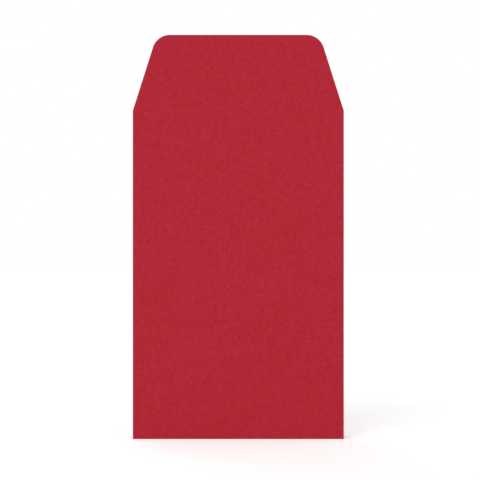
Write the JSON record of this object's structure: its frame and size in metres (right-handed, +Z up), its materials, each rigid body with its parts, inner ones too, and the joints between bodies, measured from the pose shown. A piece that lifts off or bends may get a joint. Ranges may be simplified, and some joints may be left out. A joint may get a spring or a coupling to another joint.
{
  "type": "gusset envelope",
  "caption": "Upright red paper pocket envelope with V-folded side and bottom gussets, a tapered round-cornered seal flap and a peel-off liner over its adhesive strip.",
  "frame": {"origin": "middle of the rectangle that the envelope covers on the surface it stands on", "axes": "+Z up towards the flap, -Y out of the plain front, +X to the right seen from the front"},
  "size_m": [0.1142, 0.0152, 0.2188],
  "materials": {
    "red_paper": "matte uncoated",
    "seam_glue": "dried glue",
    "seal_adhesive": "tacky gloss",
    "release_paper": "glazed"
  },
  "bodies": {
    "front": {"front_panel": "red_paper"},
    "left_front_leaf": {"left_gusset_front_leaf": "red_paper"},
    "left_back_leaf": {"left_gusset_back_leaf": "red_paper"},
    "right_front_leaf": {"right_gusset_front_leaf": "red_paper"},
    "right_back_leaf": {"right_gusset_back_leaf": "red_paper"},
    "bottom_front_leaf": {"bottom_gusset_front_leaf": "red_paper"},
    "bottom_back_leaf": {"bottom_gusset_back_leaf": "red_paper"},
    "back": {"back_left_panel": "red_paper", "back_right_panel": "red_paper", "centre_seam_glue": "seam_glue", "bottom_seam_flap": "red_paper", "bottom_seam_glue": "seam_glue"},
    "flap_throat": {"flap_throat": "red_paper"},
    "flap_tip": {"flap_tip": "red_paper", "flap_adhesive_strip": "seal_adhesive"},
    "liner": {"release_liner": "release_paper"}
  },
  "joints": [
    {"name": "gusset_spread", "type": "hinge", "parent": "front", "child": "left_front_leaf", "pos_m": [-0.05685, -0.00725, 0.08815], "axis": [0, 0, 1], "range_deg": [-32.2, 55.96]},
    {"name": "left_inner_fold", "type": "hinge", "parent": "left_front_leaf", "child": "left_back_leaf", "pos_m": [-0.04649, -0.00025, 0.08815], "axis": [0, 0, 1], "range_deg": [-111.94, 64.42]},
    {"name": "left_back_fold", "type": "hinge", "parent": "left_back_leaf", "child": "back", "pos_m": [-0.05685, 0.00675, 0.08815], "axis": [0, 0, 1], "range_deg": [-32.21, 55.97]},
    {"name": "right_front_fold", "type": "hinge", "parent": "front", "child": "right_front_leaf", "pos_m": [0.05685, -0.00725, 0.08815], "axis": [0, 0, -1], "range_deg": [-32.21, 55.97]},
    {"name": "right_inner_fold", "type": "hinge", "parent": "right_front_leaf", "child": "right_back_leaf", "pos_m": [0.04649, -0.00025, 0.08815], "axis": [0, 0, -1], "range_deg": [-111.94, 64.42]},
    {"name": "bottom_front_fold", "type": "hinge", "parent": "front", "child": "bottom_front_leaf", "pos_m": [0, -0.00725, 0.0003], "axis": [-1, 0, 0], "range_deg": [-32.21, 55.97]},
    {"name": "bottom_inner_fold", "type": "hinge", "parent": "bottom_front_leaf", "child": "bottom_back_leaf", "pos_m": [0, -0.00025, 0.01066], "axis": [-1, 0, 0], "range_deg": [-111.94, 64.42]},
    {"name": "flap_fold", "type": "hinge", "parent": "front", "child": "flap_throat", "pos_m": [0, -0.00745, 0.1778], "axis": [-1, 0, 0], "range_deg": [0, 90]},
    {"name": "tip_fold", "type": "hinge", "parent": "flap_throat", "child": "flap_tip", "pos_m": [0, -0.00745, 0.20424], "axis": [-1, 0, 0], "range_deg": [0, 90]},
    {"name": "liner_peel", "type": "slide", "parent": "flap_tip", "child": "liner", "axis": [1, 0, 0], "range_m": [0, 0.09]}
  ],
  "couplings": [
    {"joint": "left_inner_fold", "follows": "gusset_spread", "ratio": -2},
    {"joint": "left_back_fold", "follows": "gusset_spread", "ratio": 1},
    {"joint": "right_front_fold", "follows": "gusset_spread", "ratio": 1},
    {"joint": "right_inner_fold", "follows": "gusset_spread", "ratio": -2},
    {"joint": "bottom_front_fold", "follows": "gusset_spread", "ratio": 1},
    {"joint": "bottom_inner_fold", "follows": "gusset_spread", "ratio": -2}
  ]
}
